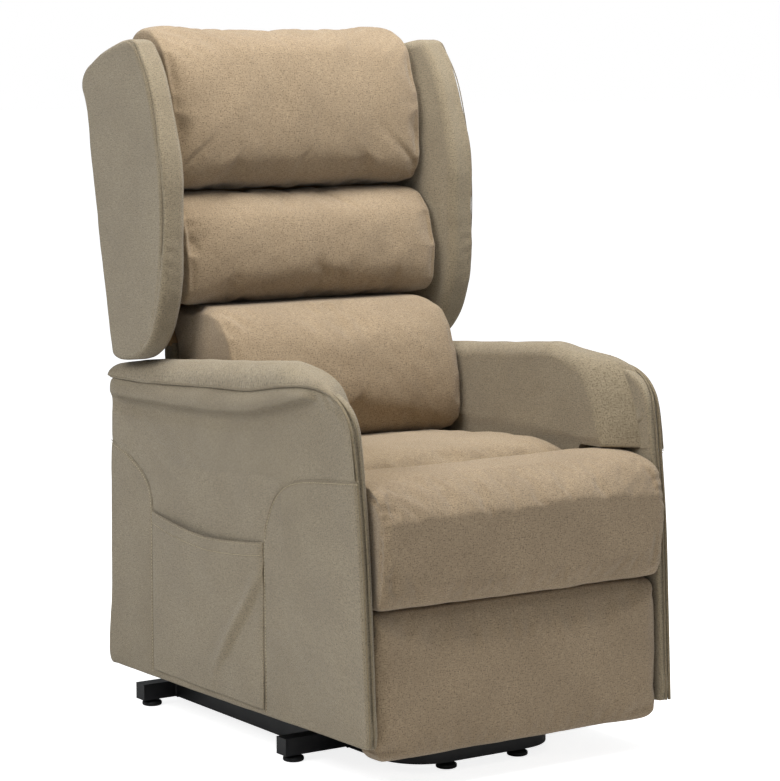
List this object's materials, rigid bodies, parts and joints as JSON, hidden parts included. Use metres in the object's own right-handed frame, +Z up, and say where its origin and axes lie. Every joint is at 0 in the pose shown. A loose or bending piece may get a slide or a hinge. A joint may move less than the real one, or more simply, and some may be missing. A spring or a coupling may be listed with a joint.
{
  "type": "lift recliner",
  "caption": "Upholstered winged armchair on a steel base: it lifts and tilts the sitter to standing, raises a padded footrest and lays back its cushioned backrest.",
  "frame": {"origin": "on the floor, under the middle of the overall bounding box", "axes": "+Z up, front of the chair faces -Y, +X is the sitter's left; upright, footrest down, lift closed"},
  "size_m": [0.627, 0.865, 1.166],
  "materials": {
    "beige_weave": "matte slub weave, warm taupe",
    "beige_cushion_weave": "matte slub weave, seat and back cushions",
    "black_steel": "satin black powder coat",
    "zinc_steel": "zinc plated steel",
    "black_plastic": "matte black plastic",
    "plywood": "plain birch ply",
    "webbing": "woven elastic strap"
  },
  "bodies": {
    "base": {"base_rear_tube": "black_steel", "base_mid_tube": "black_steel", "base_side_rails": "black_steel", "base_front_tube": "black_steel", "tube_end_caps": "black_plastic", "levelling_feet": "black_plastic", "pivot_plates": "black_steel", "base_pivot_studs": "zinc_steel", "lift_motor_bracket": "black_steel", "lift_motor": "black_plastic", "lift_actuator_tube": "zinc_steel"},
    "lift_arms": {"right_lift_arm": "black_steel", "left_lift_arm": "black_steel", "lift_torque_tube": "black_steel"},
    "rear_links": {"right_rear_link": "black_steel", "left_rear_link": "black_steel"},
    "lift_piston": {"lift_rod": "zinc_steel"},
    "carriage": {"carriage_bolts": "zinc_steel", "right_mechanism_plate": "black_steel", "left_mechanism_plate": "black_steel", "seat_cross_tubes": "black_steel", "seat_side_rails": "plywood", "seat_end_rails": "plywood", "seat_webbing": "webbing", "seat_cushion": "beige_cushion_weave", "motor_brackets": "black_steel", "footrest_motor": "black_plastic", "footrest_actuator_tube": "zinc_steel", "back_motor": "black_plastic", "back_actuator_tube": "zinc_steel", "right_arm_core": "beige_weave", "left_arm_core": "beige_weave", "right_arm_pad": "beige_weave", "left_arm_pad": "beige_weave", "right_side_panel": "beige_weave", "left_side_panel": "beige_weave", "side_pocket": "beige_weave", "rear_panel": "beige_weave"},
    "footrest_drive": {"footrest_torque_tube": "black_steel", "footrest_drive_links": "zinc_steel", "footrest_link_pins": "zinc_steel"},
    "footrest_idlers": {"footrest_idler_links": "zinc_steel"},
    "footrest_long_arms": {"footrest_arms": "zinc_steel"},
    "footrest_stay_links": {"footrest_stays": "zinc_steel"},
    "footrest": {"footrest_brackets": "black_steel", "footrest_board": "plywood", "footrest_pad": "beige_cushion_weave", "footrest_bolster": "beige_cushion_weave"},
    "footrest_piston": {"footrest_rod": "zinc_steel"},
    "backrest": {"back_torque_tube": "black_steel", "back_hinge_arms": "black_steel", "back_board": "plywood", "back_shell": "beige_weave", "back_skirt": "beige_weave", "lumbar_cushion": "beige_cushion_weave", "middle_cushion": "beige_cushion_weave", "head_cushion": "beige_cushion_weave", "right_wing": "beige_weave", "left_wing": "beige_weave"},
    "back_piston": {"back_rod": "zinc_steel"}
  },
  "joints": [
    {"name": "lift", "type": "hinge", "parent": "base", "child": "lift_arms", "pos_m": [0, -0.1765, 0.063], "axis": [1, 0, 0], "range_deg": [0, 55]},
    {"name": "carriage_tilt", "type": "hinge", "parent": "lift_arms", "child": "carriage", "pos_m": [0, 0.0795, 0.085], "axis": [1, 0, 0], "range_deg": [-35, 0]},
    {"name": "rear_link_turn", "type": "hinge", "parent": "base", "child": "rear_links", "pos_m": [0, -0.1215, 0.094], "axis": [1, 0, 0], "range_deg": [0, 48.35]},
    {"name": "lift_actuator", "type": "slide", "parent": "base", "child": "lift_piston", "axis": [0, -1, 0], "range_m": [0, 0.07388]},
    {"name": "footrest_raise", "type": "hinge", "parent": "carriage", "child": "footrest_drive", "pos_m": [0, -0.1925, 0.262], "axis": [1, 0, 0], "range_deg": [-85, 0]},
    {"name": "footrest_idler_turn", "type": "hinge", "parent": "carriage", "child": "footrest_idlers", "pos_m": [0, -0.2376, 0.30446], "axis": [1, 0, 0], "range_deg": [-85, 0]},
    {"name": "footrest_knee", "type": "hinge", "parent": "footrest_drive", "child": "footrest_long_arms", "pos_m": [0, -0.1275, 0.107], "axis": [1, 0, 0], "range_deg": [0, 85]},
    {"name": "footrest_stay_turn", "type": "hinge", "parent": "footrest_drive", "child": "footrest_stay_links", "pos_m": [0, -0.1205, 0.065], "axis": [1, 0, 0], "range_deg": [0, 85]},
    {"name": "footrest_tilt", "type": "hinge", "parent": "footrest_long_arms", "child": "footrest", "pos_m": [0, -0.3325, 0.3], "axis": [1, 0, 0], "range_deg": [-85, 0]},
    {"name": "footrest_actuator", "type": "slide", "parent": "carriage", "child": "footrest_piston", "axis": [0, -1, 0], "range_m": [0, 0.08107]},
    {"name": "backrest_recline", "type": "hinge", "parent": "carriage", "child": "backrest", "pos_m": [0, 0.3075, 0.33], "axis": [1, 0, 0], "range_deg": [-35, 0]},
    {"name": "back_actuator", "type": "slide", "parent": "carriage", "child": "back_piston", "axis": [0, -1, 0], "range_m": [0, 0.04811]}
  ],
  "couplings": [
    {"joint": "carriage_tilt", "follows": "lift", "ratio": -0.63636},
    {"joint": "rear_link_turn", "follows": "lift", "ratio": 0.87909},
    {"joint": "lift_actuator", "follows": "lift", "m_per_rad": 0.076963},
    {"joint": "footrest_idler_turn", "follows": "footrest_raise", "ratio": 1},
    {"joint": "footrest_knee", "follows": "footrest_raise", "ratio": -1},
    {"joint": "footrest_stay_turn", "follows": "footrest_raise", "ratio": -1},
    {"joint": "footrest_tilt", "follows": "footrest_raise", "ratio": 1},
    {"joint": "footrest_actuator", "follows": "footrest_raise", "m_per_rad": -0.054647},
    {"joint": "back_actuator", "follows": "backrest_recline", "m_per_rad": -0.078761}
  ]
}
